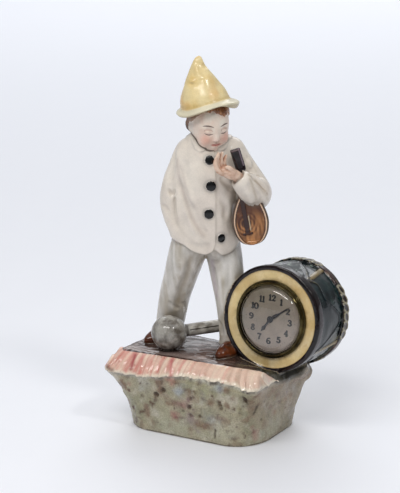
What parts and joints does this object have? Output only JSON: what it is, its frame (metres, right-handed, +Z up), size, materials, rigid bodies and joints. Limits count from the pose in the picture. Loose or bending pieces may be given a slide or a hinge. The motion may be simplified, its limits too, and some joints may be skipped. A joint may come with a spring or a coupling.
{
  "type": "figural table clock",
  "caption": "Glazed ceramic table clock: boy in pierrot suit with mandolin and dumbbell on a flared plinth, beside a drum that holds a round clock.",
  "frame": {"origin": "centre of the plinth's flat underside", "axes": "+Z up; the long front of the plinth faces -Y; the drum with the clock stands at the +X end"},
  "size_m": [0.1781, 0.1027, 0.3052],
  "materials": {
    "ceramic": "hand-painted glossy glaze in cream, yellow, grey, pink, mauve, dark green and brown",
    "case_metal": "dull, unpolished",
    "bezel_brass": "polished, slightly tarnished",
    "crystal": "clear, domed",
    "dial": "silvered matt dial with printed black numerals",
    "hands": "dark blued, spade pattern"
  },
  "bodies": {
    "clock_body": {"ceramic_group": "ceramic", "clock_case": "case_metal", "clock_bezel": "bezel_brass", "clock_crystal": "crystal", "clock_dial": "dial"},
    "minute": {"minute_hand": "hands"},
    "hour": {"hour_hand": "hands"}
  },
  "joints": [
    {"name": "minute_turn", "type": "hinge", "parent": "clock_body", "child": "minute", "pos_m": [0.0605, 0.0008, 0.0975], "axis": [-0.0207, 0.9901, -0.1392], "continuous": true},
    {"name": "hour_turn", "type": "hinge", "parent": "clock_body", "child": "hour", "pos_m": [0.0605, 0.0008, 0.0975], "axis": [-0.0207, 0.9901, -0.1392], "continuous": true}
  ],
  "couplings": [
    {"joint": "hour_turn", "follows": "minute_turn", "ratio": 0.083333}
  ]
}
